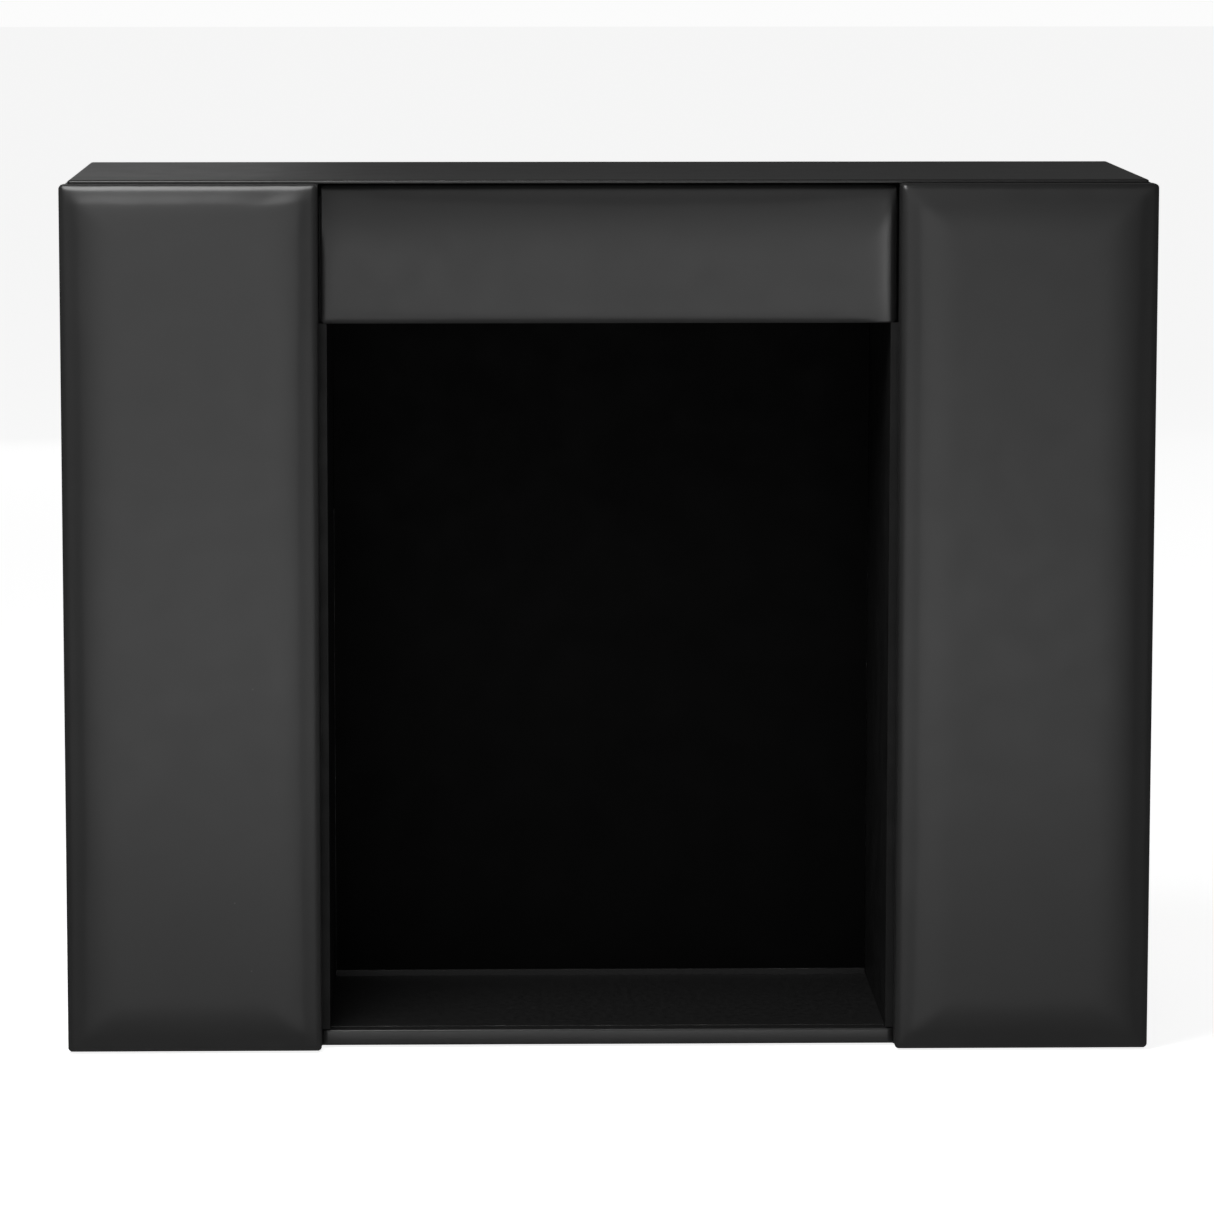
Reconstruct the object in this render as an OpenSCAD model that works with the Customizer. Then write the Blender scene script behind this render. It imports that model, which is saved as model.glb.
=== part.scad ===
// Electric fireplace: a padded leather surround with an open black chamber, a flame screen
// at the back of the chamber, a fan heater behind the header, and controls in a recess in
// the chamber's ceiling, just behind the header, where they are reached from below.
// Front is -Y, right is +X, up is +Z. The origin is at the middle of the footprint, on the floor.

/* [Overall] */
// Overall width
width = 1220; // [1120:10:1400]
// Overall height, from the floor to the top of the mantel
height = 985; // [900:5:1100]
// Overall depth
depth = 400; // [390:5:460]
// Height of the nylon glides under the boards
glide_h = 3; // [2:1:6]

/* [Pillars] */
// Width of each padded pillar
pillar_w = 286; // [270:2:320]
// How far the pillar fronts stand in front of the rail and the mantel edge
pillar_proud = 36; // [34:1:60]
// Height of the crown of the front padding
crown = 10; // [8:1:16]
// Distance from a padded panel's edge to the flat top of its crown
crown_inset = 56; // [30:1:60]
// Thickness of the padding on the outer sides
side_pad_t = 8; // [6:1:12]

/* [Boards] */
// Thickness of the carcass boards
board_t = 18; // [15:1:19]
// Thickness of the boards behind the padding
pad_board_t = 12; // [9:1:12]
// Thickness of the board under the mantel panel
sub_top_t = 16; // [12:1:18]
// Thickness of the hardboard backs
back_t = 3; // [3:1:4]
// Thickness of the leather
leather_t = 1; // [0.8:0.1:1.5]

/* [Header] */
// Height of the padded header
header_h = 154; // [140:2:170]
// Gap between the header and each pillar
header_gap = 3; // [2:0.5:5]

/* [Chamber] */
// Depth from the pillar fronts to the flame screen
chamber_d = 320; // [290:2:322]
// Thickness of the chamber's side liners
liner_t = 9; // [6:1:12]
// Thickness of the flame screen
screen_t = 4; // [3:1:5]

/* [Heater] */
// Radius of the blower impeller
impeller_r = 30; // [26:1:30]
// Number of blades on the impeller
impeller_blades = 24; // [16:1:28]
// Length of the blower housing
blower_l = 240; // [220:10:250]
// Number of fins in each row of the heating element
element_fins = 34; // [20:2:40]

/* [Flame engine] */
// Radius of the flame spindle
spindle_r = 18; // [12:1:20]
// Number of reflector blades along the spindle
spindle_blades = 26; // [16:2:30]
// Number of LEDs
led_count = 20; // [10:1:24]

/* [Hidden] */

$fn = 48;
eps = 0.01;            // overlap that keeps joined shapes joined
slack = 0.05;          // running clearance of every shaft, and of foam under leather

// places across the width
half_w = width / 2;
inner_x = half_w - pillar_w;      // face of the inner side boards, at the opening
outer_x = half_w - side_pad_t;    // face of the outer side boards
header_x = inner_x - header_gap;  // end of the header

// places along the depth
front_y = -depth / 2;
rail_y = front_y + pillar_proud;
screen_y = front_y + chamber_d;
rear_y = depth / 2 - 5;           // rear edge of the boards
header_front_y = rail_y - 4;
header_back_y = rail_y + 28;

// places up the height
base_z = glide_h;
body_z = height - 4;              // underside of the mantel panel
sub_z = body_z - sub_top_t;
rail_z = base_z + 18;             // top of the wrapped rail
floor_z = rail_z - leather_t;     // top of the bottom board
liner_z = floor_z + 2;            // top of the chamber's floor liner
header_top_z = body_z - 2;
header_z = header_top_z - header_h;
ceiling_z = header_z;
plate_t = 1.5;                    // sheet steel
above_z = ceiling_z + plate_t;    // floor of the heater compartment

// blower, seen along its axis
blower_y = rail_y + 150;
blower_z = above_z + 68;
scroll_r = impeller_r + 9;
shaft_r = 3;
bush_r = 5;

// hot air outlet
grille_half = blower_l / 2 - 6;
grille_y0 = header_back_y + 30;
grille_y1 = grille_y0 + 33;

// flame engine
spindle_y = screen_y + 40;
spindle_z = floor_z + 44;
spindle_half = 270;
spindle_shaft_r = 2.5;

// control recess: x and y of its mouth, and the face that the controls sit on
recess_x = [148, 308];
recess_y = [header_back_y + 6, header_back_y + 52];
face_y = (recess_y[0] + recess_y[1]) / 2;
face_z = ceiling_z + 16;
rocker_x = [162, 189, 216];
rocker_tilt = 8;
pivot_out = 0.5;                  // rocker pivot, out from the face
thermostat_x = 250;
dimmer_x = 288;

// fixings on the back
cover_half = inner_x + 8;
cover_t = 1.2;
screw_r = 1.4;
screw_hole_r = 1.7;
cover_screw_x = inner_x + 4;
cover_screw_z = [60, 280, 500, 720, 920];
pillar_screw_x = [inner_x + 14, outer_x - 8];
pillar_screw_z = [40, 340, 640, 940];
wall_plate_x = half_w - 50;
wall_plate_z = height - 85;
wall_hole_r = 3.25;
inlet_x = -250;
inlet_z = 110;
inlet_screw_dx = 20;
inlet_flange_t = 2;

// colours
leather_colour = [0.13, 0.13, 0.135];
mdf_colour = [0.62, 0.50, 0.37];
foam_colour = [0.90, 0.86, 0.70];
steel_colour = [0.06, 0.06, 0.065];
plastic_colour = [0.04, 0.04, 0.04];
bright_colour = [0.75, 0.75, 0.77];
hardboard_colour = [0.36, 0.24, 0.15];

// ---------- shared shapes ----------

// A box between two corners.
module box(a, b) {
    translate(a) cube(b - a);
}

// A cylinder along X from x0 to x1, centred on (y, z).
module rod_x(x0, x1, y, z, r) {
    translate([x0, y, z]) rotate([0, 90, 0]) cylinder(h = x1 - x0, r = r);
}

// A cylinder along Y from y0 to y1, centred on (x, z).
module rod_y(y0, y1, x, z, r) {
    translate([x, y0, z]) rotate([-90, 0, 0]) cylinder(h = y1 - y0, r = r);
}

// A panel whose front is crowned towards -Y. Its sides are straight from back_y to edge_y.
module crowned(x0, x1, z0, z1, back_y, edge_y, peak_y, inset) {
    thin = 0.5;
    mid_in = inset * 0.35;
    mid_y = edge_y + (peak_y - edge_y) * 0.68;
    hull() {
        box([x0, edge_y, z0], [x1, back_y, z1]);
        box([x0 + mid_in, mid_y, z0 + mid_in], [x1 - mid_in, mid_y + thin, z1 - mid_in]);
        box([x0 + inset, peak_y, z0 + inset], [x1 - inset, peak_y + thin, z1 - inset]);
    }
}

// Leather wrapped round a crowned panel: open at the back, and clear of the foam by the slack.
module crowned_cover(x0, x1, z0, z1, back_y, edge_y, peak_y, inset) {
    t = leather_t - slack;
    difference() {
        crowned(x0, x1, z0, z1, back_y, edge_y, peak_y, inset);
        crowned(x0 + t, x1 - t, z0 + t, z1 - t, back_y + 1, edge_y + t, peak_y + t, inset);
    }
}

module at_both_sides() {
    children();
    mirror([1, 0, 0]) children();
}

// ---------- mantel and carcass ----------

module top_panel() {
    color(mdf_colour)
        box([-outer_x + leather_t, rail_y + leather_t, body_z],
            [outer_x - leather_t, depth / 2 - leather_t, height - leather_t]);
}

module top_cover() {
    color(leather_colour) difference() {
        box([-outer_x, rail_y, body_z], [outer_x, depth / 2, height]);
        box([-outer_x + leather_t, rail_y + leather_t, body_z - 1],
            [outer_x - leather_t, depth / 2 - leather_t, height - leather_t]);
    }
}

module sub_top() {
    color(mdf_colour) difference() {
        box([-outer_x, rail_y, sub_z], [outer_x, rear_y, body_z]);
        box([-inner_x, rail_y - 1, sub_z - 1], [inner_x, header_back_y, body_z + 1]);
    }
}

module outer_side() {
    color(mdf_colour)
        box([outer_x - board_t, rail_y, base_z], [outer_x, rear_y, sub_z]);
}

module inner_side() {
    color(mdf_colour)
        box([inner_x, rail_y, base_z], [inner_x + board_t, rear_y, sub_z]);
}

module base_board() {
    color(mdf_colour)
        box([inner_x + board_t, rail_y, base_z], [outer_x - board_t, rear_y, base_z + board_t]);
}

module front_board() {
    color(mdf_colour)
        box([inner_x + leather_t, rail_y - pad_board_t, base_z + leather_t],
            [half_w - leather_t, rail_y, body_z - leather_t]);
}

module front_foam() {
    color(foam_colour)
        crowned(inner_x + leather_t, half_w - leather_t, base_z + leather_t, body_z - leather_t,
            rail_y - pad_board_t, front_y + crown + leather_t, front_y + leather_t, crown_inset);
}

module front_cover() {
    color(leather_colour)
        crowned_cover(inner_x, half_w, base_z, body_z, rail_y, front_y + crown, front_y, crown_inset);
}

// Foam-backed leather on the outer side, crowned outwards.
module side_pad() {
    length = rear_y - rail_y;
    color(leather_colour)
        translate([outer_x, rail_y, 0]) rotate([0, 0, 90])
            crowned(0.5, length - 0.5, base_z, body_z, 0, -2.5, -side_pad_t + 0.5, crown_inset);
}

module back_panel() {
    color(hardboard_colour) difference() {
        box([pillar_screw_x[0] - 4, rear_y, base_z + 2], [outer_x - 1, rear_y + back_t, body_z - 2]);
        rod_y(rear_y - 1, rear_y + back_t + 1, wall_plate_x, wall_plate_z, wall_hole_r + 3);
        for (x = pillar_screw_x, z = pillar_screw_z)
            rod_y(rear_y - 1, rear_y + back_t + 1, x, z, screw_hole_r);
    }
}

module bottom_board() {
    color(mdf_colour)
        box([-inner_x, rail_y + leather_t, base_z + leather_t], [inner_x, rear_y, floor_z]);
}

rail_wrap = 15;        // how far the leather runs back over and under the bottom board

module rail_cover() {
    wrap_y = rail_y + rail_wrap;
    color(leather_colour) difference() {
        box([-inner_x, rail_y, base_z], [inner_x, wrap_y, rail_z]);
        box([-inner_x - 1, rail_y + leather_t, base_z + leather_t], [inner_x + 1, wrap_y + 1, floor_z]);
    }
}

module glides() {
    color(plastic_colour) at_both_sides()
        for (x = [inner_x + board_t / 2, outer_x - board_t / 2], y = [rail_y + 25, 0, rear_y - 25])
            translate([x, y, 0]) cylinder(h = glide_h, r1 = 6.5, r2 = 8);
}

// ---------- chamber ----------

module liner() {
    color(steel_colour)
        box([inner_x - liner_t, rail_y, liner_z], [inner_x, screen_y + screen_t, ceiling_z]);
}

module floor_liner() {
    color(steel_colour)
        box([-inner_x, rail_y + rail_wrap, floor_z], [inner_x, screen_y + screen_t, liner_z]);
}

loom_hole_x = inner_x - 26;
loom_hole_r = 10;

module ceiling_plate() {
    color(steel_colour) difference() {
        box([-inner_x, header_back_y, ceiling_z], [inner_x, rear_y - 1, above_z]);
        box([-grille_half, grille_y0, ceiling_z - 1], [grille_half, grille_y1, above_z + 1]);
        box([recess_x[0], recess_y[0], ceiling_z - 1], [recess_x[1], recess_y[1], above_z + 1]);
        for (x = [-loom_hole_x, loom_hole_x])
            translate([x, screen_y + 60, ceiling_z - 1]) cylinder(h = plate_t + 2, r = loom_hole_r);
    }
}

screen_half = inner_x - liner_t - 0.5;

module flame_screen() {
    color([0.02, 0.02, 0.02, 0.6])
        box([-screen_half, screen_y, liner_z], [screen_half, screen_y + screen_t, ceiling_z]);
}

// Trims that hold the screen's lower and upper edges.
module screen_channel() {
    color(steel_colour) {
        box([-screen_half, screen_y - 4, liner_z], [screen_half, screen_y, liner_z + 7]);
        box([-screen_half, screen_y - 4, ceiling_z - 9], [screen_half, screen_y, ceiling_z]);
    }
}

// ---------- flame engine, behind the screen ----------

module diffuser() {
    y = screen_y + screen_t + 6;
    color([0.9, 0.9, 0.9, 0.7])
        box([-inner_x, y, floor_z], [inner_x, y + 3, floor_z + 560]);
}

module led_board() {
    y = spindle_y + spindle_r + 8;
    pitch = 2 * spindle_half / led_count;
    color([0.05, 0.25, 0.1])
        box([-spindle_half, y, spindle_z - 14], [spindle_half, y + 1.6, spindle_z + 2]);
    color("white") for (i = [0 : led_count - 1])
        translate([-spindle_half + pitch * (i + 0.5) - 1.75, y - 1.6, spindle_z - 7.75])
            cube([3.5, 1.6, 3.5]);
    // feet that stand the strip on the bottom board
    color(bright_colour) for (x = [-220, 0, 220])
        box([x - 6, y + 1.6, floor_z], [x + 6, y + 2.8, spindle_z - 2]);
}

module flame_spindle() {
    step = 2 * (spindle_half - 14) / spindle_blades;
    turn = 137.5;
    color(bright_colour) {
        rod_x(-spindle_half - 12, spindle_half + 18, spindle_y, spindle_z, spindle_shaft_r);
        for (i = [0 : spindle_blades - 1])
            translate([-spindle_half + 14 + step * i, spindle_y, spindle_z])
                rotate([turn * i, 0, 0])
                    translate([0, -0.4, -spindle_r]) cube([step * 0.8, 0.8, 2 * spindle_r]);
    }
}

bracket_x = spindle_half + 4;
bracket_t = 1.5;
bracket_half = 26;

// Synchronous gear motor on the right bracket.
module spindle_motor() {
    x = bracket_x + bracket_t;
    color(bright_colour) difference() {
        union() {
            rod_x(x, x + 20, spindle_y, spindle_z, 20);
            box([x, spindle_y - bracket_half, spindle_z - 5], [x + 2, spindle_y + bracket_half, spindle_z + 5]);
        }
        rod_x(x - 1, x + 15, spindle_y, spindle_z, spindle_shaft_r + slack);
        rod_x(x - 1, x + 1.5, spindle_y, spindle_z, bush_r + 0.5);
    }
}

module spindle_brackets() {
    color(bright_colour) at_both_sides() difference() {
        union() {
            box([bracket_x, spindle_y - bracket_half, floor_z],
                [bracket_x + bracket_t, spindle_y + bracket_half, spindle_z + 16]);
            box([bracket_x - 16, spindle_y - 14, floor_z], [bracket_x + eps, spindle_y + 14, floor_z + bracket_t]);
        }
        rod_x(bracket_x - 4, bracket_x + 4, spindle_y, spindle_z, bush_r);
    }
}

module spindle_bushes() {
    color([0.72, 0.55, 0.3]) at_both_sides() difference() {
        union() {
            rod_x(bracket_x - 1, bracket_x + bracket_t + 1, spindle_y, spindle_z, bush_r - slack);
            rod_x(bracket_x - 2, bracket_x, spindle_y, spindle_z, bush_r + 2);
        }
        rod_x(bracket_x - 3, bracket_x + 4, spindle_y, spindle_z, spindle_shaft_r + slack);
    }
}

// ---------- heater, above the chamber ----------

// Outline of the scroll and its duct, shrunk by a wall, in the plane across the blower.
// First axis is +Y and second is +Z, measured from the impeller's centre.
module scroll_profile(wall) {
    foot = above_z - blower_z;
    d0 = grille_y0 - blower_y;
    d1 = grille_y1 - blower_y;
    circle(r = scroll_r - wall);
    polygon([[d0 - 2.5 + wall, foot - wall], [d1 + 2.5 - wall, foot - wall],
        [d1 + 2.5 - wall, foot + 24 + wall], [-20, foot + 31 + wall * 1.6],
        [0, 0], [-20, 33.3 - wall * 1.6],
        [-60 + wall, 2 - wall * 0.6], [d0 - 2.5 + wall, -30 - wall * 0.5]]);
}

// Carries a profile in the plane across the blower to its place, from x0 to x1.
module across_blower(x0, x1) {
    translate([x0, blower_y, blower_z]) rotate([90, 0, 90])
        linear_extrude(height = x1 - x0) children();
}

module blower_housing() {
    end_x = blower_l / 2;
    wall = 1.5;
    color(steel_colour) difference() {
        across_blower(-end_x, end_x) scroll_profile(0);
        across_blower(-end_x + wall, end_x - wall) scroll_profile(wall);
        // air inlet along the back of the scroll
        box([-end_x + 6, blower_y + 12, blower_z - 18], [end_x - 6, blower_y + 60, blower_z + 60]);
        rod_x(-end_x - 1, -end_x + wall + 1, blower_y, blower_z, shaft_r + 2);
        rod_x(end_x - wall - 1, end_x + 1, blower_y, blower_z, bush_r + 1);
    }
}

module blower_impeller() {
    half = blower_l / 2 - 5;
    blade_l = 7;
    color(bright_colour) {
        rod_x(-half - 22, half + 9, blower_y, blower_z, shaft_r);
        for (x = [-half, -0.75, half - 1.5])
            rod_x(x, x + 1.5, blower_y, blower_z, impeller_r);
        for (i = [0 : impeller_blades - 1])
            translate([-half, blower_y, blower_z]) rotate([360 / impeller_blades * i, 0, 0])
                translate([0, 0, impeller_r - blade_l - 0.6]) rotate([28, 0, 0])
                    cube([2 * half, 0.9, blade_l]);
    }
}

module blower_motor() {
    x = -blower_l / 2 - 4;
    length = 46;
    color(bright_colour) difference() {
        union() {
            rod_x(x - length, x, blower_y, blower_z, 26);
            box([x - length + 8, blower_y - 18, above_z], [x - 8, blower_y + 18, blower_z]);
        }
        rod_x(x - 20, x + 1, blower_y, blower_z, shaft_r + slack);
    }
}

module blower_bush() {
    x = blower_l / 2;
    color([0.72, 0.55, 0.3]) difference() {
        union() {
            rod_x(x - 1.5, x + 3, blower_y, blower_z, bush_r + 1 - slack);
            rod_x(x, x + 2, blower_y, blower_z, bush_r + 4);
        }
        rod_x(x - 3, x + 4, blower_y, blower_z, shaft_r + slack);
    }
}

// A finned heating block: two rows of fins between three bars.
module heater_element() {
    half = blower_l / 2 - 10;
    bar_half = blower_l / 2 - 1.5;
    z0 = above_z + 6;
    z1 = z0 + 13;
    y0 = grille_y0 + 1;
    row = (grille_y1 - grille_y0 - 2 - 3 * 2.4) / 2;
    pitch = 2 * half / element_fins;
    for (i = [0 : 2]) {
        y = y0 + i * (row + 2.4);
        color([0.85, 0.83, 0.78]) box([-bar_half, y, z0], [bar_half, y + 2.4, z1]);
    }
    color(bright_colour) for (i = [0 : 1], k = [0 : element_fins])
        translate([-half + k * pitch * (2 * half - 0.6) / (2 * half), y0 + 2.4 + i * (row + 2.4) - eps, z0 + 1])
            cube([0.6, row + 2 * eps, z1 - z0 - 2]);
}

module outlet_grille() {
    lip = 3;
    pitch = 12;
    slots = floor(2 * grille_half / pitch) - 1;
    color(steel_colour) difference() {
        union() {
            box([-grille_half - lip, grille_y0 - lip, ceiling_z - 2],
                [grille_half + lip, grille_y1 + lip, ceiling_z]);
            box([-grille_half + 0.2, grille_y0 + 0.2, ceiling_z - 2],
                [grille_half - 0.2, grille_y1 - 0.2, above_z]);
        }
        for (k = [0 : slots - 1])
            translate([-slots * pitch / 2 + k * pitch + 2, grille_y0 + 3, ceiling_z - 3])
                cube([pitch - 4, grille_y1 - grille_y0 - 6, plate_t + 5]);
    }
}

module thermal_cutout() {
    color([0.9, 0.88, 0.8]) {
        rod_x(blower_l / 2, blower_l / 2 + 6, grille_y1 - 12, above_z + 14, 8);
        for (y = [-4, 4])
            box([blower_l / 2 + 6 - eps, grille_y1 - 12 + y - 0.4, above_z + 11],
                [blower_l / 2 + 14, grille_y1 - 12 + y + 0.4, above_z + 17]);
    }
}

// ---------- controls ----------

// The controls are drawn about the panel's face: first axis +X, second axis up into the
// body (so that -Y looks out of the recess), third axis towards the front.
module on_face() {
    translate([0, face_y, face_z]) rotate([90, 0, 0]) children();
}

module control_panel() {
    lip = 4;
    t = 1.2;
    color(steel_colour) {
        difference() {
            union() {
                box([recess_x[0] - lip, recess_y[0] - lip, ceiling_z - 1],
                    [recess_x[1] + lip, recess_y[1] + lip, ceiling_z]);
                box([recess_x[0] + 0.2, recess_y[0] + 0.2, ceiling_z - 1],
                    [recess_x[1] - 0.2, recess_y[1] - 0.2, face_z + plate_t]);
            }
            box([recess_x[0] + t, recess_y[0] + t, ceiling_z - 2],
                [recess_x[1] - t, recess_y[1] - t, face_z]);
            on_face() {
                for (x = rocker_x) box([x - 6.6, -1, -10], [x + 6.6, plate_t + 1, 10]);
                for (x = [thermostat_x, dimmer_x]) rod_y(-1, plate_t + 1, x, 0, 4.6);
            }
        }
    }
}

module switch_bodies() {
    cavity_h = 17.8;
    cavity_w = 11.2;
    bezel = 2;
    depth_in = 15;
    color(plastic_colour) on_face() for (x = rocker_x) difference() {
        union() {
            box([x - 8, -bezel, -11.5], [x + 8, 0, 11.5]);
            box([x - 6.5, -eps, -9.9], [x + 6.5, depth_in, 9.9]);
            for (dz = [-5, 0, 5])
                box([x - 2.4, depth_in - eps, dz - 0.4], [x + 2.4, depth_in + 7, dz + 0.4]);
        }
        box([x - cavity_w / 2, -bezel - 1, -cavity_h / 2], [x + cavity_w / 2, 9, cavity_h / 2]);
        rod_x(x - cavity_w / 2 - 0.7, x + cavity_w / 2 + 0.7, -pivot_out, 0, 1 + slack);
    }
}

// A rocker in its off position, on its own pivot stubs.
module rocker(x) {
    half = 5.3;
    on_face() translate([x, -pivot_out, 0]) rotate([rocker_tilt, 0, 0]) {
        rotate([90, 0, -90]) translate([0, 0, -half]) linear_extrude(height = 2 * half)
            polygon([[-4, -3], [1.2, -8], [4.6, -8], [2.9, 0], [4.6, 8], [1.2, 8], [-4, 3]]);
        rod_x(-half - 0.8, half + 0.8, 0, 0, 1);
    }
}

module power_rocker() {
    color([0.5, 0.05, 0.04]) rocker(rocker_x[0]);
}

module low_heat_rocker() {
    color(plastic_colour) rocker(rocker_x[1]);
}

module high_heat_rocker() {
    color(plastic_colour) rocker(rocker_x[2]);
}

knob_nose = -14;
knob_skirt = -1.2;
spindle_in = 16;       // how far a knob's shaft reaches in behind the face

// A fluted knob with a pointer rib, and the shaft that it turns.
module knob(x) {
    flutes = 18;
    on_face() {
        color(plastic_colour) difference() {
            union() {
                rod_y(knob_nose, knob_skirt - 2, x, 0, 9.6);
                rod_y(knob_skirt - 2.5, knob_skirt, x, 0, 12);
                box([x - 0.7, knob_nose - 0.6, 1], [x + 0.7, knob_nose + 2, 8.5]);
            }
            for (k = [0 : flutes - 1]) if (abs(k * 360 / flutes - 90) > 11) {
                a = k * 360 / flutes;
                rod_y(knob_nose - 1, knob_skirt - 2.6, x + 10.4 * cos(a), 10.4 * sin(a), 1.3);
            }
            rod_y(knob_nose + 4, knob_skirt + 1, x, 0, 3);
            rod_y(knob_skirt - 2, knob_skirt + 1, x, 0, 7);
        }
        color(bright_colour) rod_y(knob_nose + 4, spindle_in, x, 0, 3 - slack);
    }
}

module thermostat_knob() {
    knob(thermostat_x);
}

module dimmer_knob() {
    knob(dimmer_x);
}

// A control behind the face, on a threaded bushing with a nut on the outside.
module dial_body(x) {
    color(bright_colour) on_face() difference() {
        union() {
            children();
            rod_y(-2.9, plate_t + eps, x, 0, 4.5);
            translate([x, 0, 0]) rotate([90, 0, 0]) cylinder(h = 1.1, r = 6.4, $fn = 6);
        }
        rod_y(-4, spindle_in + 1, x, 0, 3);
    }
}

module thermostat_body() {
    dial_body(thermostat_x)
        box([thermostat_x - 13, plate_t, -15], [thermostat_x + 13, plate_t + 18, 15]);
}

module dimmer_body() {
    dial_body(dimmer_x)
        rod_y(plate_t, plate_t + 17, dimmer_x, 0, 9);
}

board_x = [150, 300];
board_y = [rail_y + 114, rail_y + 224];
board_z = above_z + 8;            // underside of the circuit board
deck_z = board_z + 1.6;           // its component side
carrier_rim = 4;                  // how far the board reaches past its carrier
terminal = [200, board_y[1] - 24, board_z + 13];
terminal_half = [35, 6];
flame_plug = [280, board_y[1] - 24, board_z + 13];
flame_plug_half = [6, 5];
// places of the parts on the board, from its front left corner
relay_at = [10, 20];
relay_size = [30, 35, 24];
filter_at = [65, 14];
filter_size = [20, 18, 16];
filter_step = 24;
capacitors = [[100, 20, 7], [118, 22, 5], [102, 44, 5]]; // x, y and radius

// A connector on the board: its middle, top and half size.
module connector(place, half) {
    box([place[0] - half[0], place[1] - half[1], deck_z],
        [place[0] + half[0], place[1] + half[1], place[2]]);
}

// The circuit board of heater and flame, on a plastic carrier.
module control_board() {
    color([0.05, 0.25, 0.1])
        box([board_x[0], board_y[0], board_z], [board_x[1], board_y[1], deck_z]);
    color(plastic_colour)
        box([board_x[0] + carrier_rim, board_y[0] + carrier_rim, above_z],
            [board_x[1] - carrier_rim, board_y[1] - carrier_rim, board_z]);
    translate([board_x[0], board_y[0], deck_z]) {
        color([0.75, 0.7, 0.2]) translate(relay_at) cube(relay_size);
        color([0.1, 0.2, 0.5]) for (k = [0, 1])
            translate([filter_at[0], filter_at[1] + k * filter_step, 0]) cube(filter_size);
        color(plastic_colour) for (c = capacitors)
            translate([c[0], c[1], 0]) cylinder(h = 4 * c[2], r = c[2]);
    }
    color([0.1, 0.45, 0.2]) {
        connector(terminal, terminal_half);
        connector(flame_plug, flame_plug_half);
    }
}

// ---------- header ----------

module header_board() {
    color(mdf_colour)
        box([-header_x + leather_t, header_back_y - pad_board_t, header_z + leather_t],
            [header_x - leather_t, header_back_y, header_top_z - leather_t]);
}

header_edge_y = header_front_y + 8;
header_inset = 50;

module header_foam() {
    color(foam_colour)
        crowned(-header_x + leather_t, header_x - leather_t, header_z + leather_t, header_top_z - leather_t,
            header_back_y - pad_board_t, header_edge_y + leather_t, header_front_y + leather_t, header_inset);
}

module header_cover() {
    color(leather_colour)
        crowned_cover(-header_x, header_x, header_z, header_top_z,
            header_back_y, header_edge_y, header_front_y, header_inset);
}

shield_t = 1;
header_screw_x = [-290, -100, 100, 290];
header_screw_z = [above_z + 20, sub_z - 20];

module heat_shield() {
    color(bright_colour) difference() {
        box([-inner_x, header_back_y, above_z], [inner_x, header_back_y + shield_t, sub_z]);
        for (x = header_screw_x, z = header_screw_z)
            rod_y(header_back_y - 1, header_back_y + 2, x, z, screw_hole_r);
    }
}

// ---------- rear ----------

// A row of vent slots through the rear cover.
module vent_row(z) {
    slot_w = 44;
    gap = 12;
    for (k = [-3 : 3])
        box([k * (slot_w + gap) - slot_w / 2, rear_y - 1, z],
            [k * (slot_w + gap) + slot_w / 2, rear_y + cover_t + 1, z + 5]);
}

module rear_cover() {
    color(steel_colour) difference() {
        box([-cover_half, rear_y, base_z + 5], [cover_half, rear_y + cover_t, body_z - 2]);
        for (k = [0 : 6]) {
            vent_row(above_z + 25 + k * 14);
            vent_row(floor_z + 180 + k * 14);
        }
        for (x = [-cover_screw_x, cover_screw_x], z = cover_screw_z)
            rod_y(rear_y - 1, rear_y + cover_t + 1, x, z, screw_hole_r);
        box([inlet_x - 13.8, rear_y - 1, inlet_z - 10.3], [inlet_x + 13.8, rear_y + 3, inlet_z + 10.3]);
    }
}

// Three-pin appliance inlet. Its socket opens towards +Y.
module power_inlet() {
    mouth_y = rear_y + cover_t + inlet_flange_t;
    color(plastic_colour) difference() {
        union() {
            box([inlet_x - 24, rear_y + cover_t, inlet_z - 13], [inlet_x + 24, mouth_y, inlet_z + 13]);
            box([inlet_x - 13.6, rear_y - 20, inlet_z - 10], [inlet_x + 13.6, rear_y + cover_t + eps, inlet_z + 10]);
        }
        box([inlet_x - 12.1, rear_y - 16, inlet_z - 8.2], [inlet_x + 12.1, mouth_y + 1, inlet_z + 8.2]);
        for (dx = [-inlet_screw_dx, inlet_screw_dx])
            rod_y(rear_y, mouth_y + 1, inlet_x + dx, inlet_z, screw_hole_r);
    }
    color(bright_colour) for (p = [[-7, -2], [0, 2], [7, -2]])
        box([inlet_x + p[0] - 1, rear_y - 26, inlet_z + p[1] - 2],
            [inlet_x + p[0] + 1, mouth_y - 6, inlet_z + p[1] + 2]);
}

// Steel plates that hang on two wall screws.
module wall_plates() {
    y0 = rear_y + back_t;
    color(bright_colour) at_both_sides() difference() {
        box([wall_plate_x - 28, y0, wall_plate_z - 10], [wall_plate_x + 28, y0 + 2, wall_plate_z + 10]);
        rod_y(y0 - 1, y0 + 3, wall_plate_x, wall_plate_z, wall_hole_r);
    }
}

// A pan-head screw driven towards -Y, its head on the plane y.
module screw(x, y, z, length) {
    translate([x, y, z]) rotate([-90, 0, 0]) {
        difference() {
            cylinder(h = 1.6, r1 = 3.4, r2 = 2.6);
            for (a = [0, 90]) rotate([0, 0, a])
                translate([-1.9, -0.35, 0.8]) cube([3.8, 0.7, 1]);
        }
        translate([0, 0, -length]) cylinder(h = length + eps, r = screw_r);
    }
}

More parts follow.
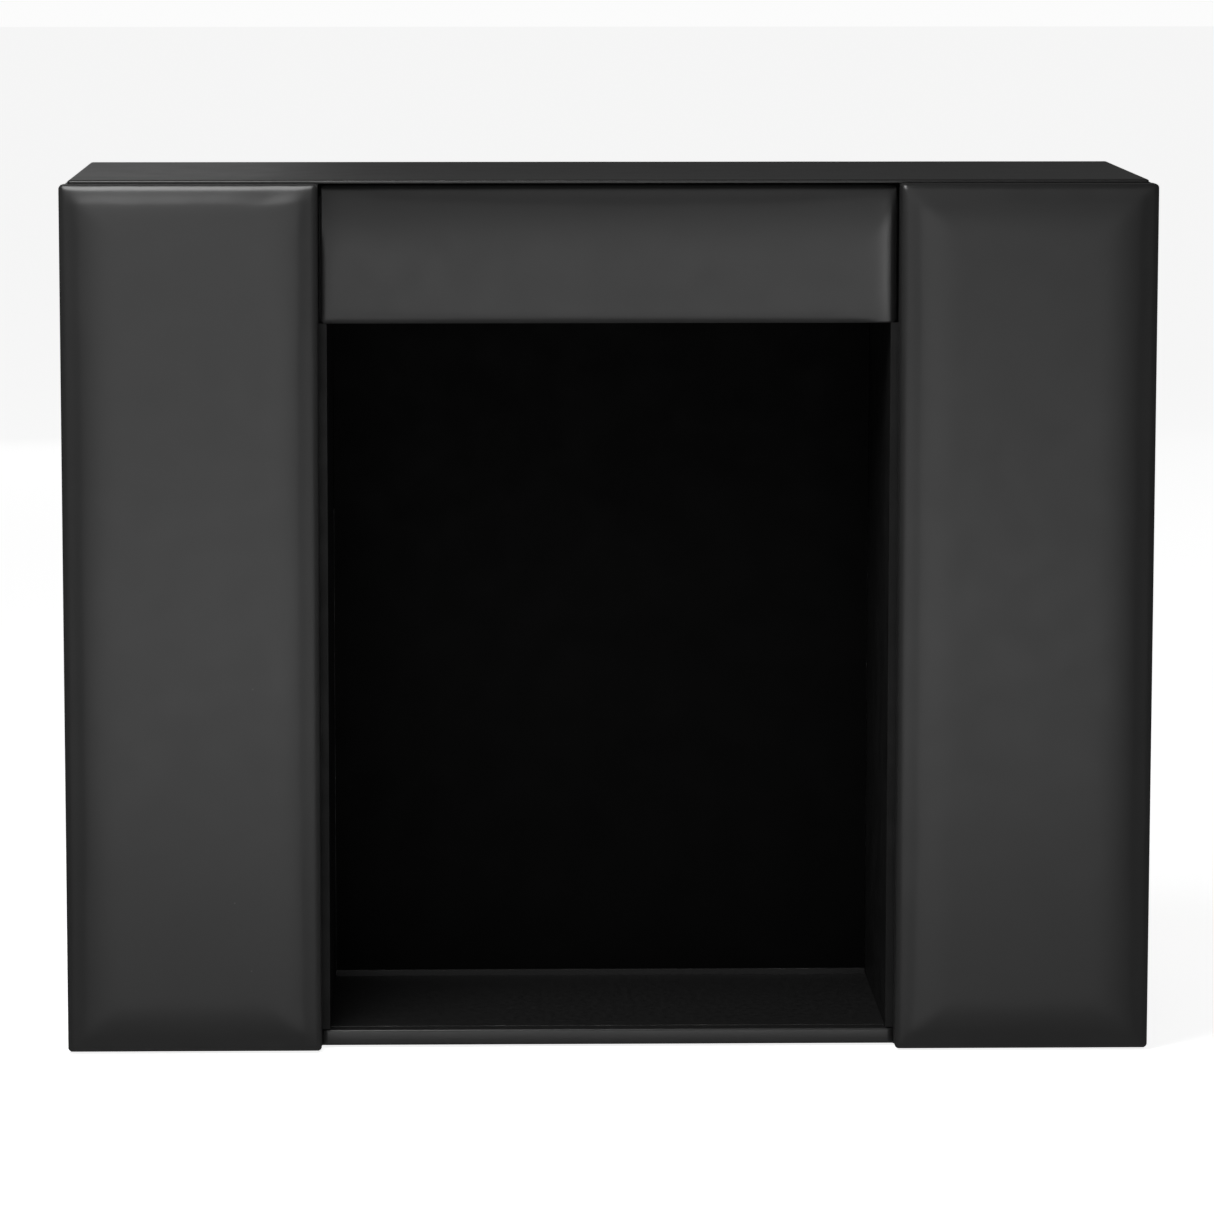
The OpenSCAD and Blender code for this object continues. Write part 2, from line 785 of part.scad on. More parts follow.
module screws() {
    color(bright_colour) {
        for (x = [-cover_screw_x, cover_screw_x], z = cover_screw_z)
            screw(x, rear_y + cover_t, z, 14);
        at_both_sides() for (x = pillar_screw_x, z = pillar_screw_z)
            screw(x, rear_y + back_t, z, 14);
        for (x = header_screw_x, z = header_screw_z)
            screw(x, header_back_y + shield_t, z, 11);
        for (dx = [-inlet_screw_dx, inlet_screw_dx])
            screw(inlet_x + dx, rear_y + cover_t + inlet_flange_t, inlet_z, 6);
    }
}

// A bound lead: an eight-sided tube along a route, with its corners rounded.
function unit(v) = v / norm(v);
function corner(a, b, c, reach) = let (u = unit(a - b), v = unit(c - b))
    [for (t = [0 : 1 / 3 : 1.01]) b + reach * ((1 - t) * (1 - t) * u + t * t * v)];
function rounded(p, reach) = [p[0],
    for (i = [1 : len(p) - 2]) each corner(p[i - 1], p[i], p[i + 1], reach), p[len(p) - 1]];
function heading(p, i) = unit(p[min(i + 1, len(p) - 1)] - p[max(i - 1, 0)]);
function square_to(v, t) = unit(v - t * (v * t));
function side_on(p, i) = square_to(i == 0 ? [0.3, 0.5, 0.8] : side_on(p, i - 1), heading(p, i));

module lead(route, r) {
    sides = 8;
    p = rounded(route, 2.5 * r);
    last = len(p) - 1;
    rings = [for (i = [0 : last]) let (t = heading(p, i), n = side_on(p, i), b = cross(t, n))
        each [for (k = [0 : sides - 1]) p[i] + r * (cos(45 * k) * n + sin(45 * k) * b)]];
    walls = [for (i = [0 : last - 1], k = [0 : sides - 1]) let (m = (k + 1) % sides)
        [i * sides + k, (i + 1) * sides + k, (i + 1) * sides + m, i * sides + m]];
    polyhedron(rings, concat(walls, [[for (k = [0 : sides - 1]) k],
        [for (k = [0 : sides - 1]) last * sides + sides - 1 - k]]));
}

// Mains leads from the inlet up the left side and over to the control board, and the lead
// from the board down the right side to the spindle motor.
module wiring_loom() {
    back_y = screen_y + 60;
    motor_back = bracket_x + bracket_t + 20;
    color([0.08, 0.08, 0.08]) {
        lead([[inlet_x, rear_y - 26, inlet_z], [inlet_x, rear_y - 34, inlet_z],
            [-loom_hole_x, rear_y - 34, inlet_z], [-loom_hole_x, back_y, inlet_z + 30],
            [-loom_hole_x, back_y, sub_z - 30], [100, back_y, sub_z - 30],
            [terminal[0], terminal[1], sub_z - 40], terminal], 4);
        lead([flame_plug, flame_plug + [0, 0, 20], [loom_hole_x, back_y, above_z + 40],
            [loom_hole_x, back_y, spindle_z + 60], [motor_back + 6, spindle_y, spindle_z + 40],
            [motor_back + 6, spindle_y, spindle_z], [motor_back, spindle_y, spindle_z]], 2);
    }
}

// ---------- what is drawn ----------

top_panel();
top_cover();
sub_top();
mirror([1, 0, 0]) outer_side();  // left_outer_side
outer_side();  // right_outer_side
mirror([1, 0, 0]) inner_side();  // left_inner_side
inner_side();  // right_inner_side
mirror([1, 0, 0]) base_board();  // left_base_board
base_board();  // right_base_board
mirror([1, 0, 0]) front_board();  // left_front_board
front_board();  // right_front_board
mirror([1, 0, 0]) front_foam();  // left_front_foam
front_foam();  // right_front_foam
mirror([1, 0, 0]) front_cover();  // left_front_cover
front_cover();  // right_front_cover
mirror([1, 0, 0]) side_pad();  // left_side_pad
side_pad();  // right_side_pad
mirror([1, 0, 0]) back_panel();  // left_back_panel
back_panel();  // right_back_panel
bottom_board();
rail_cover();
glides();
header_board();
header_foam();
header_cover();
heat_shield();
mirror([1, 0, 0]) liner();  // left_liner
liner();  // right_liner
floor_liner();
ceiling_plate();
flame_screen();
screen_channel();
diffuser();
led_board();
flame_spindle();
spindle_motor();
spindle_brackets();
spindle_bushes();
blower_housing();
blower_impeller();
blower_motor();
blower_bush();
heater_element();
outlet_grille();
thermal_cutout();
control_panel();
switch_bodies();
power_rocker();
low_heat_rocker();
high_heat_rocker();
thermostat_knob();
dimmer_knob();
thermostat_body();
dimmer_body();
control_board();
rear_cover();
power_inlet();
wall_plates();
screws();
wiring_loom();
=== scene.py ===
"""Looks of the padded electric fireplace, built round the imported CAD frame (metres)."""

import math

import bmesh
import bpy
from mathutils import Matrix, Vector, noise


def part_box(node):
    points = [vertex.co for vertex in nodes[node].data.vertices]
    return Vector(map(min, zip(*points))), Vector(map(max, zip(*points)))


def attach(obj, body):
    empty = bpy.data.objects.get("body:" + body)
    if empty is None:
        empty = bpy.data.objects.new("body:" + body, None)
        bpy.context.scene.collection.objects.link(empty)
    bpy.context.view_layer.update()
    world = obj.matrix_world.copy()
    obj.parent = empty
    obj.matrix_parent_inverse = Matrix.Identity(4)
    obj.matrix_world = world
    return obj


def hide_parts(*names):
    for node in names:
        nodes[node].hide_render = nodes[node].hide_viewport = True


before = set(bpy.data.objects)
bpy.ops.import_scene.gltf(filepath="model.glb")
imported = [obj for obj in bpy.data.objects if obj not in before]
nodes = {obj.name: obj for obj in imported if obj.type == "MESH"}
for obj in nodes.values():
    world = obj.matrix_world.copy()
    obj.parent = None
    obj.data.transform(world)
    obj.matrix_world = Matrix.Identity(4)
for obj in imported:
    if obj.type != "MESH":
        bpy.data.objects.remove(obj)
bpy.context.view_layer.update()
SURROUND = "surround"

WHITE = (1, 1, 1, 1)
FLOOR_REACH = 40           # half the side of the floor
DIM, PALE = 0.07, 0.97     # surroundings as the object and as the camera see them
RIM_TURN = 0.005           # width of a pad's last quarter turn at its edge
ROLL_SHARE = 0.64          # part of a pad's drop that lies in its wide roll
CLOTH_FRAMES = 20
CALM_PASSES = 12           # smoothing passes over the cloth's moves
TINY = 1e-9


# ---------- camera, stage and lights ----------

def linked(obj):
    bpy.context.scene.collection.objects.link(obj)
    return obj


def aim(obj, target):
    """Points an object's -Z axis at a place."""
    direction = Vector(target) - obj.location
    obj.rotation_euler = direction.to_track_quat("-Z", "Y").to_euler()


def make_camera():
    """Further off than the photographer stood, because the lens shift stays small."""
    camera = linked(bpy.data.objects.new("camera", bpy.data.cameras.new("camera")))
    camera.location = (-0.173, -5.785, 1.316)
    camera.rotation_euler = (math.radians(90 - 6.97), 0, math.radians(-1.05))
    camera.data.sensor_width = 36
    camera.data.lens = 149.9
    camera.data.shift_x = 0.05
    camera.data.shift_y = -0.09
    camera.data.clip_end = 100
    bpy.context.scene.camera = camera


def softbox(name, place, target, size, radiance):
    """A rectangular light whose face has the given radiance, whatever its size."""
    light = linked(bpy.data.objects.new(name, bpy.data.lights.new(name, "AREA")))
    light.location = place
    light.data.shape = "RECTANGLE"
    light.data.size, light.data.size_y = size
    light.data.energy = radiance * math.pi * size[0] * size[1]
    light.visible_camera = False
    aim(light, target)
    return light


def kept_to(light, names, state="INCLUDE"):
    """Makes a light shine only on the named pieces, or on all but those."""
    group = bpy.data.collections.new(f"lit_by_{light.name}")
    for name in names:
        group.objects.link(bpy.data.objects[name])
    for entry in group.collection_objects:
        entry.light_linking.link_state = state
    light.light_linking.receiver_collection = group


def make_stage():
    """The pale floor, the surroundings and the soft lights that every piece gets."""
    mesh = bpy.data.meshes.new("floor")
    corners = [(x * FLOOR_REACH, y * FLOOR_REACH, 0) for x, y in ((-1, -1), (1, -1), (1, 1), (-1, 1))]
    mesh.from_pydata(corners, [], [(0, 1, 2, 3)])
    floor = linked(bpy.data.objects.new("floor", mesh))
    material = bpy.data.materials.new("stage_floor")
    material.use_nodes = True
    shader = material.node_tree.nodes["Principled BSDF"]
    shader.inputs["Base Color"].default_value = (0.8, 0.8, 0.8, 1)
    shader.inputs["Roughness"].default_value = 0.9
    shader.inputs["Specular IOR Level"].default_value = 0.1
    shader.inputs["Emission Color"].default_value = WHITE
    shader.inputs["Emission Strength"].default_value = 0.86
    mesh.materials.append(material)
    floor.visible_glossy = False

    world = bpy.data.worlds.new("studio")
    bpy.context.scene.world = world
    world.use_nodes = True
    tree = world.node_tree
    dim = tree.nodes["Background"]
    dim.inputs["Color"].default_value = WHITE
    dim.inputs["Strength"].default_value = DIM
    pale = tree.nodes.new("ShaderNodeBackground")
    pale.inputs["Color"].default_value = WHITE
    pale.inputs["Strength"].default_value = PALE
    seen = tree.nodes.new("ShaderNodeLightPath")
    mixed = tree.nodes.new("ShaderNodeMixShader")
    tree.links.new(seen.outputs["Is Camera Ray"], mixed.inputs["Fac"])
    tree.links.new(dim.outputs["Background"], mixed.inputs[1])
    tree.links.new(pale.outputs["Background"], mixed.inputs[2])
    tree.links.new(mixed.outputs["Shader"], tree.nodes["World Output"].inputs["Surface"])

    softbox("front_light", (-0.1, -8.2, 0.05), (0, 0, 0.5), (4.0, 2.0), 1.3)
    softbox("wide_light", (-0.1, -8.6, 0.3), (0, 0, 0.5), (5.0, 3.0), 0.55)
    softbox("top_light", (0.1, -4.6, 3.0), (0, -0.2, 0.9), (2.4, 2.6), 0.6)
    softbox("back_left_light", (-1.42, 6.0, 1.6), (-0.6, 0, 1.1), (1.76, 2.6), 0.29)
    softbox("back_right_light", (2.3, 6.0, 1.6), (0.4, 0, 1.1), (1.4, 2.6), 0.08)
    softbox("rear_light", (3.2, 4.2, 3.4), (0, 0.2, 0.5), (2.4, 2.0), 0.9)
    bpy.context.scene.view_settings.view_transform = "Standard"


# ---------- materials ----------

class Graph:
    """Short calls for building one material's node tree."""

    def __init__(self, name):
        self.material = bpy.data.materials.new(name)
        self.material.use_nodes = True
        self.tree = self.material.node_tree
        self.shader = self.tree.nodes["Principled BSDF"]
        self.place = self.add("ShaderNodeTexCoord").outputs["Object"]

    def add(self, kind, **settings):
        node = self.tree.nodes.new(kind)
        for key, value in settings.items():
            setattr(node, key, value)
        return node

    def link(self, source, target):
        self.tree.links.new(source, target)

    def set(self, **values):
        for key, value in values.items():
            self.shader.inputs[key.replace("_", " ")].default_value = value

    def stretched(self, scale):
        mapping = self.add("ShaderNodeMapping")
        mapping.inputs["Scale"].default_value = scale
        self.link(self.place, mapping.inputs["Vector"])
        return mapping.outputs["Vector"]

    def noise(self, scale, detail=3.0, rough=0.5, vector=None):
        node = self.add("ShaderNodeTexNoise")
        node.inputs["Scale"].default_value = scale
        node.inputs["Detail"].default_value = detail
        node.inputs["Roughness"].default_value = rough
        self.link(vector or self.place, node.inputs["Vector"])
        return node.outputs["Fac"]

    def cells(self, scale, feature="DISTANCE_TO_EDGE"):
        node = self.add("ShaderNodeTexVoronoi", feature=feature)
        node.inputs["Scale"].default_value = scale
        self.link(self.place, node.inputs["Vector"])
        return node.outputs["Distance"]

    def ramp(self, source, stops):
        node = self.add("ShaderNodeValToRGB")
        ends = node.color_ramp.elements
        ends[0].position, ends[0].color = stops[0][0], (*stops[0][1], 1)
        ends[1].position, ends[1].color = stops[-1][0], (*stops[-1][1], 1)
        for position, colour in stops[1:-1]:
            ends.new(position).color = (*colour, 1)
        self.link(source, node.inputs["Fac"])
        return node.outputs["Color"]

    def spread(self, source, low, high, start=0.0, end=1.0):
        node = self.add("ShaderNodeMapRange")
        for key, value in (("From Min", start), ("From Max", end), ("To Min", low), ("To Max", high)):
            node.inputs[key].default_value = value
        self.link(source, node.inputs["Value"])
        return node.outputs["Result"]

    def mix(self, factor, first, second):
        """Mixes colours; first and second are sockets or plain colours."""
        node = self.add("ShaderNodeMix", data_type="RGBA")
        self.link(factor, node.inputs["Factor"])
        for socket, value in ((node.inputs[6], first), (node.inputs[7], second)):
            if isinstance(value, tuple):
                socket.default_value = (*value, 1)
            else:
                self.link(value, socket)
        return node.outputs[2]

    def edges(self, radius):
        """A rounded normal for hard CAD edges, and how much it differs from the flat one."""
        bevel = self.add("ShaderNodeBevel", samples=4)
        bevel.inputs["Radius"].default_value = radius
        flat = self.add("ShaderNodeNewGeometry").outputs["Normal"]
        apart = self.add("ShaderNodeVectorMath", operation="DISTANCE")
        self.link(bevel.outputs["Normal"], apart.inputs[0])
        self.link(flat, apart.inputs[1])
        return bevel.outputs["Normal"], apart.outputs["Value"]

    def bumps(self, *layers, normal=None):
        """Each layer is a height source, its strength and its depth in metres."""
        for source, strength, depth in layers:
            node = self.add("ShaderNodeBump")
            node.inputs["Strength"].default_value = strength
            node.inputs["Distance"].default_value = depth
            self.link(source, node.inputs["Height"])
            if normal:
                self.link(normal, node.inputs["Normal"])
            normal = node.outputs["Normal"]
        self.link(normal, self.shader.inputs["Normal"])

    def colour(self, source):
        self.link(source, self.shader.inputs["Base Color"])

    def roughness(self, source):
        self.link(source, self.shader.inputs["Roughness"])


def grey(value):
    return (value, value, value)


def leather(name, low=0.0118, high=0.0132, rough=(0.355, 0.385)):
    """Smooth black synthetic leather: fine pebble grain, soft sheen and a few specks of dust."""
    g = Graph(name)
    tone = g.ramp(g.noise(7, 4), [(0.3, grey(low)), (0.7, grey(high))])
    speck = g.spread(g.cells(13, "F1"), 0.35, 0, 0.006, 0.016)
    g.colour(g.mix(speck, tone, grey(0.16)))
    g.roughness(g.spread(g.noise(26, 5), *rough, 0.3, 0.7))
    g.bumps((g.noise(5, 1), 0.02, 0.0006), (g.noise(380, 3), 0.10, 0.0002), (g.cells(950), 0.10, 0.00012))
    g.set(IOR=1.5)
    return g.material


def board(name, low, high, rough, fibre):
    """The graph of a wood-based board: flecks of fibre and a dull, slightly fuzzy face."""
    g = Graph(name)
    flecks = g.noise(fibre, 6, 0.65, g.stretched((1, 1, 0.35)))
    middle = tuple((a + b) / 2 for a, b in zip(low, high))
    g.colour(g.ramp(flecks, [(0.32, low), (0.5, middle), (0.68, high)]))
    g.roughness(g.spread(g.noise(60, 3), *rough, 0.3, 0.7))
    g.bumps((flecks, 0.3, 0.0003), (g.noise(900, 2), 0.10, 0.0002))
    return g


def painted_board(name, low, high, rough, fibre):
    """Raw board whose front strip, faces towards the opening and outer faces are sprayed black."""
    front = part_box("header_board")[1][1] + 0.004
    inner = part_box("right_inner_side")[0][0]
    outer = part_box("right_outer_side")[1][0]
    g = board(name, low, high, rough, fibre)
    split = g.add("ShaderNodeSeparateXYZ")
    g.link(g.place, split.inputs[0])
    across = g.add("ShaderNodeMath", operation="ABSOLUTE")
    g.link(split.outputs["X"], across.inputs[0])
    drift = g.add("ShaderNodeMath", operation="MULTIPLY_ADD")
    g.link(g.noise(160, 3), drift.inputs[0])
    drift.inputs[1].default_value = 0.004
    g.link(split.outputs["Y"], drift.inputs[2])
    cover = g.spread(drift.outputs[0], 1, 0, front, front + 0.003)
    inside = g.spread(across.outputs[0], 1, 0, inner + 0.0004, inner + 0.0006)
    outside = g.spread(across.outputs[0], 0, 1, outer - 0.0006, outer - 0.0004)
    for part in (inside, outside):
        most = g.add("ShaderNodeMath", operation="MAXIMUM")
        g.link(cover, most.inputs[0])
        g.link(part, most.inputs[1])
        cover = most.outputs[0]
    raw = g.shader.inputs["Base Color"].links[0].from_socket
    g.colour(g.mix(cover, raw, grey(0.004)))
    return g.material


def metal(name, low, high, rough, radius, metallic=1.0, brushed=False, worn=(0.45, 0.44, 0.43)):
    """Sheet metal or paint on it, with rounded and slightly worn edges."""
    g = Graph(name)
    normal, edge = g.edges(radius)
    grain = g.noise(140, 4, 0.6, g.stretched((0.06, 1, 1)) if brushed else None)
    tone = g.ramp(grain, [(0.3, low), (0.7, high)])
    wear = g.add("ShaderNodeMath", operation="MULTIPLY")
    g.link(edge, wear.inputs[0])
    g.link(g.spread(g.noise(45, 4), 0, 0.7, 0.52, 0.72), wear.inputs[1])
    g.colour(g.mix(wear.outputs[0], tone, worn))
    g.roughness(g.spread(grain, *rough, 0.3, 0.7))
    g.bumps((grain, 0.15, 0.0001), normal=normal)
    g.set(Metallic=metallic)
    return g.material


def plastic(name, low, high, rough, radius=0.0005):
    """Moulded plastic with a fine spark-eroded texture and softened edges."""
    g = Graph(name)
    normal, _ = g.edges(radius)
    g.colour(g.ramp(g.noise(40, 3), [(0.3, low), (0.7, high)]))
    g.roughness(g.spread(g.noise(90, 3), *rough, 0.3, 0.7))
    g.bumps((g.noise(1800, 2), 0.18, 0.00006), normal=normal)
    return g.material


def matt_black(name, low, high, rough, specular, dust=0.0):
    """Dead black paint or printed film, with a little dust where it lies flat."""
    g = Graph(name)
    tone = g.ramp(g.noise(18, 5, 0.6), [(0.3, grey(low)), (0.7, grey(high))])
    if dust:
        up = g.add("ShaderNodeSeparateXYZ")
        g.link(g.add("ShaderNodeNewGeometry").outputs["Normal"], up.inputs[0])
        lying = g.add("ShaderNodeMath", operation="MULTIPLY")
        g.link(g.spread(up.outputs["Z"], 0, 1, 0.5, 1), lying.inputs[0])
        g.link(g.spread(g.noise(55, 6, 0.7), 0, dust, 0.45, 0.75), lying.inputs[1])
        tone = g.mix(lying.outputs[0], tone, (0.10, 0.098, 0.094))
    g.colour(tone)
    g.roughness(g.spread(g.noise(30, 4), *rough, 0.3, 0.7))
    g.bumps((g.noise(700, 3), 0.15, 0.0002))
    g.shader.inputs["Specular IOR Level"].default_value = specular
    return g.material


def make_finishes():
    """One material for each material slot of the frame, and the paint of the marks."""
    return {
        "leather": leather("black_leather"),
        "mdf": painted_board("fibreboard", (0.25, 0.17, 0.10), (0.40, 0.29, 0.185), (0.72, 0.86), 260),
        "hardboard": board("brown_hardboard", (0.095, 0.055, 0.03), (0.17, 0.105, 0.06),
                           (0.42, 0.58), 180).material,
        "foam": board("upholstery_foam", (0.62, 0.56, 0.36), (0.78, 0.72, 0.50),
                      (0.85, 0.95), 600).material,
        "black_board": matt_black("black_lining_board", 0.003, 0.005, (0.45, 0.6), 0.3, 0.1),
        "black_steel": metal("black_painted_steel", grey(0.006), grey(0.011), (0.42, 0.52), 0.0006, 0.0),
        "zinc_steel": metal("zinc_plated_steel", (0.46, 0.47, 0.48), grey(0.60), (0.3, 0.42), 0.0005),
        "aluminium": metal("bright_aluminium", (0.66, 0.66, 0.67), grey(0.78), (0.22, 0.34), 0.0003,
                           brushed=True),
        "bronze": metal("sintered_bronze", (0.42, 0.25, 0.12), (0.56, 0.35, 0.18), (0.38, 0.5), 0.0003,
                        worn=(0.7, 0.5, 0.3)),
        "smoked_screen": matt_black("flame_screen_film", 0.0012, 0.002, (0.5, 0.6), 0.05),
        "frosted_plastic": plastic("frosted_acrylic", grey(0.68), grey(0.76), (0.55, 0.7)),
        "circuit_board": plastic("solder_mask", (0.008, 0.055, 0.02), (0.014, 0.085, 0.03), (0.28, 0.4)),
        "black_plastic": plastic("black_moulded_plastic", grey(0.012), grey(0.019), (0.36, 0.46)),
        "red_plastic": plastic("red_moulded_plastic", (0.26, 0.008, 0.006), (0.34, 0.014, 0.010), (0.26, 0.36)),
        "cream_plastic": plastic("cream_phenolic", (0.62, 0.58, 0.46), (0.72, 0.68, 0.56), (0.38, 0.5)),
        "mark_paint": plastic("mark_paint", grey(0.6), grey(0.7), (0.45, 0.55)),
        "cable": plastic("cable_sleeve", grey(0.010), grey(0.016), (0.5, 0.62), 0.0003),
    }


# ---------- padded pieces ----------

PAD_STEPS = ((0.020, 0.0033), (0.068, 0.0055), (9, 0.009))


def stops(length, steps=PAD_STEPS):
    """Places along a side, closest together near both ends. steps holds (up to, step) pairs."""
    at, places = 0.0, [0.0]
    while True:
        step = next(s for reach, s in steps if at < reach - TINY)
        if at + 1.5 * step > length / 2:
            break
        at += step
        places.append(at)
    return places + [length / 2] + [length - p for p in reversed(places)]


def roll(distance, reach):
    """Height of a stretched pad, 0 at its edge and 1 from the reach inwards."""
    rest = 1 - min(max(distance / reach, 0), 1)
    turn = 1 - min(max(distance / RIM_TURN, 0), 1)
    return ROLL_SHARE * (1 - rest ** 2.3) + (1 - ROLL_SHARE) * math.sqrt(1 - turn * turn)


def fall(u, v, size, sides):
    """How far a pad's face lies below its crown at (u, v), with soft hips between its sides.

    sides holds (reach, drop) for the low u, high u, low v and high v sides.
    """
    depths = [drop * (1 - roll(d, reach))
              for d, (reach, drop) in zip((u, size[0] - u, v, size[1] - v), sides)]
    return sum(depth ** 5 for depth in depths) ** (1 / 5)


def round_corner(u, v, size, radius):
    """Carries the square corners of the outline onto round ones."""
    out = []
    for at, length in ((u, size[0]), (v, size[1])):
        near, far = radius - at, at - (length - radius)
        out.append(-near if near > 0 else far if far > 0 else 0.0)
    a, b = out
    if a and b:
        shrink = max(abs(a), abs(b)) / math.hypot(a, b)
        u, v = u + a * (shrink - 1), v + b * (shrink - 1)
    return u, v


def pad(name, size, height, sides, place, corner=0.004, steps=PAD_STEPS, extra=None):
    """A pad, open at its flat back: straight sides, and a face that falls towards each side.

    place(u, v, h) carries width, height and rise to the frame; extra(u, v) adds to the rise.
    """
    us, vs = stops(size[0], steps), stops(size[1], steps)
    bm = bmesh.new()
    face, rises = {}, {}
    for i, u in enumerate(us):
        for j, v in enumerate(vs):
            rise = height - fall(u, v, size, sides)
            if extra:
                rise += extra(u, v)
            rises[i, j] = rise
            face[i, j] = bm.verts.new(place(*round_corner(u, v, size, corner), rise))
    last_i, last_j = len(us) - 1, len(vs) - 1
    for i in range(last_i):
        for j in range(last_j):
            bm.faces.new((face[i, j], face[i + 1, j], face[i + 1, j + 1], face[i, j + 1]))
    rim = [(i, 0) for i in range(last_i)] + [(last_i, j) for j in range(last_j)]
    rim += [(i, last_j) for i in range(last_i, 0, -1)] + [(0, j) for j in range(last_j, 0, -1)]
    above = [face[key] for key in rim]
    rows = max(2, round(height / 0.0055))
    for row in range(rows - 1, -1, -1):
        below = [bm.verts.new(place(*round_corner(us[i], vs[j], size, corner), rises[i, j] * row / rows))
                 for i, j in rim]
        for k in range(len(rim)):
            m = (k + 1) % len(rim)
            bm.faces.new((above[k], above[m], below[m], below[k]))
        above = below
    outward = Vector(place(0, 0, 1)) - Vector(place(0, 0, 0))
    if bm.faces[:][0].normal.dot(outward) < 0:
        bmesh.ops.reverse_faces(bm, faces=bm.faces)
    piece = piece_from(bm, name)
    pinned = [i * len(vs) + j for i in range(len(us)) for j in range(len(vs))
              if i in (0, last_i) or j in (0, last_j)]
    pinned += range(len(us) * len(vs), len(piece.data.vertices))
    piece.vertex_groups.new(name="pinned").add(pinned, 1, "REPLACE")
    return piece


def piece_from(bm, name, smooth=False):
    """Turns a bmesh into a piece of the scene."""
    mesh = bpy.data.meshes.new(name)
    bm.to_mesh(mesh)
    bm.free()
    for polygon in mesh.polygons if smooth else ():
        polygon.use_smooth = True
    return linked(bpy.data.objects.new(name, mesh))


def closed(piece):
    """Closes the open back with one flat face."""
    bm = bmesh.new()
    bm.from_mesh(piece.data)
    rim = [edge for edge in bm.edges if edge.is_boundary]
    for face in bmesh.ops.holes_fill(bm, edges=rim, sides=0)["faces"]:
        face.smooth = False
    bmesh.ops.recalc_face_normals(bm, faces=bm.faces)
    bm.to_mesh(piece.data)
    bm.free()


def swell(pieces, pressure, cap):
    """Blows the pads up as cloth for a moment, and keeps at most the cap of each point's move."""
    scene = bpy.context.scene
    for piece in pieces:
        cloth = piece.modifiers.new("cloth", "CLOTH")
        settings = cloth.settings
        settings.quality = 6
        settings.mass = 0.35
        settings.tension_stiffness = settings.compression_stiffness = 18
        settings.shear_stiffness = 8
        settings.bending_stiffness = 1.5
        settings.use_pressure = True
        settings.uniform_pressure_force = pressure
        settings.vertex_group_mass = "pinned"
        settings.effector_weights.gravity = 0
        cloth.collision_settings.use_collision = False
        cloth.point_cache.frame_start, cloth.point_cache.frame_end = 1, CLOTH_FRAMES
    for number in range(1, CLOTH_FRAMES + 1):
        scene.frame_set(number)
    graph = bpy.context.evaluated_depsgraph_get()
    blown = [[v.co.copy() for v in piece.evaluated_get(graph).data.vertices] for piece in pieces]
    for piece, places in zip(pieces, blown):
        piece.modifiers.remove(piece.modifiers["cloth"])
        mesh = piece.data
        shifts = [place - vertex.co for vertex, place in zip(mesh.vertices, places)]
        for _ in range(CALM_PASSES):
            sums, counts = [Vector() for _ in shifts], [0] * len(shifts)
            for a, b in (edge.vertices for edge in mesh.edges):
                sums[a] += shifts[b]
                sums[b] += shifts[a]
                counts[a] += 1
                counts[b] += 1
            shifts = [(own + total / count) / 2 if own.length > TINY else own
                      for own, total, count in zip(shifts, sums, counts)]
        for vertex, shift in zip(mesh.vertices, shifts):
            if shift.length > TINY:
                vertex.co += shift * (cap * math.tanh(shift.length / cap) / shift.length)
    scene.frame_set(1)


def subdivided(piece):
    """Applies one subdivision to the mesh itself, and closes its back."""
    piece.modifiers.new("smooth", "SUBSURF").levels = 1
    graph = bpy.context.evaluated_depsgraph_get()
    mesh = bpy.data.meshes.new_from_object(piece.evaluated_get(graph))
    piece.modifiers.clear()
    piece.data = mesh
    for polygon in mesh.polygons:
        polygon.use_smooth = True
    closed(piece)


def puckers(seed, depth, wave):
    """Shallow gathers of the leather that fade away from the pad's edge."""
    def height(along, inward):
        gather = noise.noise(Vector((along / wave, seed, 0.0)))
        return depth * gather * math.exp(-((inward / 0.013) ** 2)) * min(inward / 0.004, 1)
    return height


def front_pad(name, box, sides, extra=None):
    """A pad that faces -Y and fills a CAD box."""
    (x0, y0, z0), (x1, y1, z1) = box
    return pad(name, (x1 - x0, z1 - z0), y1 - y0 - 0.0015, sides,
               lambda u, v, h: (x0 + u, y1 - h, z0 + v), extra=extra)


